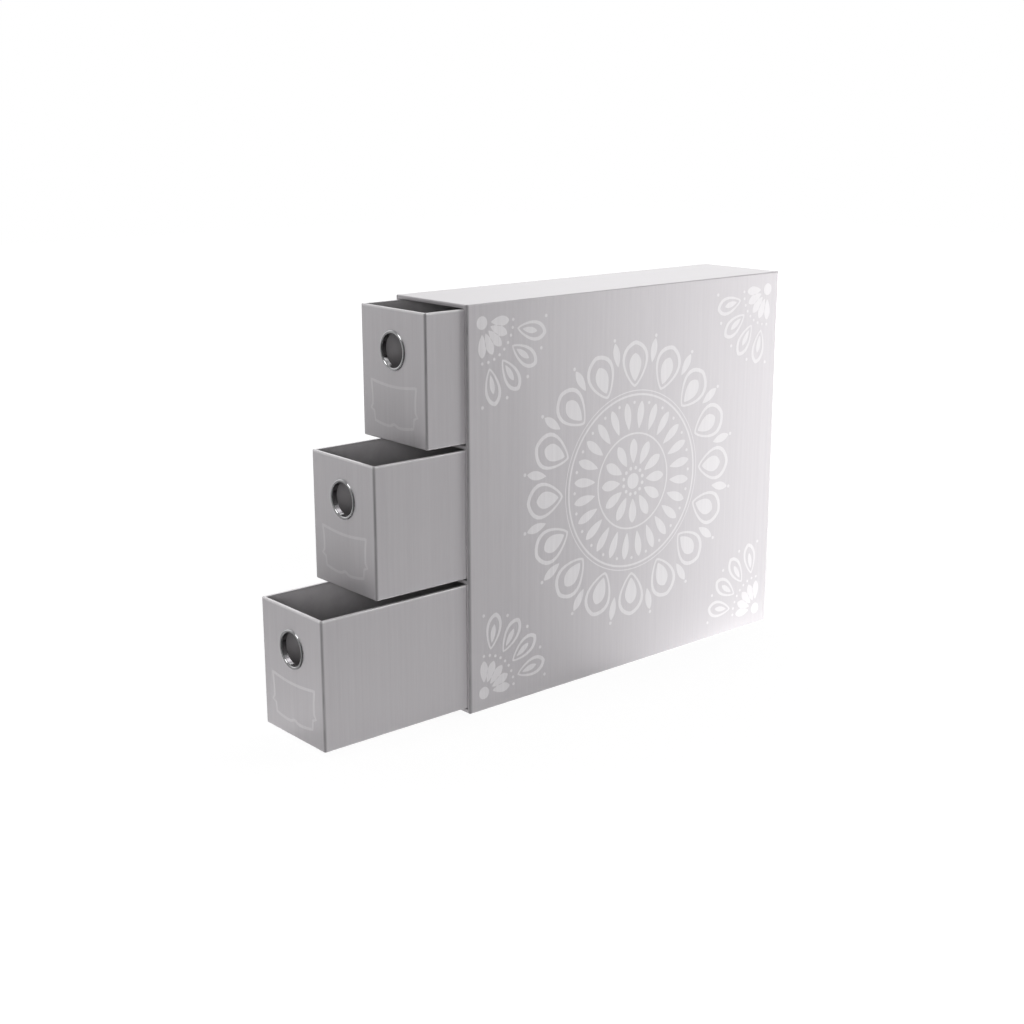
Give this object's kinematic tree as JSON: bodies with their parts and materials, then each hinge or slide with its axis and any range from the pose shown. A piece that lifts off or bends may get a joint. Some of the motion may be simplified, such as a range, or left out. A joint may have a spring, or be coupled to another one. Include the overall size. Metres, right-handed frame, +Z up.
{
  "type": "trading card drawer box",
  "caption": "Tall, narrow case of board covered in brushed silver paper, with card drawers one above another that slide out of its open front by chromed finger rings.",
  "frame": {"origin": "centre of the case's underside, on the surface it stands on", "axes": "+Z up, -Y towards the open front the drawers slide out of, +X to the decorated side of the case"},
  "size_m": [0.084, 0.4732, 0.312],
  "materials": {
    "greyboard": "raw solid board, covered on every side",
    "silver_paper": "brushed metallic silver-grey covering paper",
    "charcoal_paper": "matt charcoal lining paper",
    "ring_chrome": "polished nickel-chrome plate on pressed steel",
    "washer_steel": "plain plated steel"
  },
  "bodies": {
    "case": {"case_left_board": "greyboard", "case_right_board": "greyboard", "case_top_board": "greyboard", "case_bottom_board": "greyboard", "case_back_board": "greyboard", "case_wrap": "silver_paper", "case_base_sheet": "silver_paper", "case_lining": "charcoal_paper", "lower_shelf_board": "greyboard", "lower_shelf_edge_strip": "silver_paper", "lower_shelf_lining": "charcoal_paper", "upper_shelf_board": "greyboard", "upper_shelf_edge_strip": "silver_paper", "upper_shelf_lining": "charcoal_paper"},
    "bottom_drawer": {"bottom_drawer_front_board": "greyboard", "bottom_drawer_back_board": "greyboard", "bottom_drawer_left_board": "greyboard", "bottom_drawer_right_board": "greyboard", "bottom_drawer_bottom_board": "greyboard", "bottom_drawer_wrap": "silver_paper", "bottom_drawer_lining": "charcoal_paper", "bottom_drawer_finger_ring": "ring_chrome", "bottom_drawer_ring_washer": "washer_steel"},
    "middle_drawer": {"middle_drawer_front_board": "greyboard", "middle_drawer_back_board": "greyboard", "middle_drawer_left_board": "greyboard", "middle_drawer_right_board": "greyboard", "middle_drawer_bottom_board": "greyboard", "middle_drawer_wrap": "silver_paper", "middle_drawer_lining": "charcoal_paper", "middle_drawer_finger_ring": "ring_chrome", "middle_drawer_ring_washer": "washer_steel"},
    "top_drawer": {"top_drawer_front_board": "greyboard", "top_drawer_back_board": "greyboard", "top_drawer_left_board": "greyboard", "top_drawer_right_board": "greyboard", "top_drawer_bottom_board": "greyboard", "top_drawer_wrap": "silver_paper", "top_drawer_lining": "charcoal_paper", "top_drawer_finger_ring": "ring_chrome", "top_drawer_ring_washer": "washer_steel"}
  },
  "joints": [
    {"name": "bottom_drawer_slide", "type": "slide", "parent": "case", "child": "bottom_drawer", "axis": [0, -1, 0], "range_m": [-0.13, 0.17]},
    {"name": "middle_drawer_slide", "type": "slide", "parent": "case", "child": "middle_drawer", "axis": [0, -1, 0], "range_m": [-0.082, 0.218]},
    {"name": "top_drawer_slide", "type": "slide", "parent": "case", "child": "top_drawer", "axis": [0, -1, 0], "range_m": [-0.035, 0.265]}
  ]
}
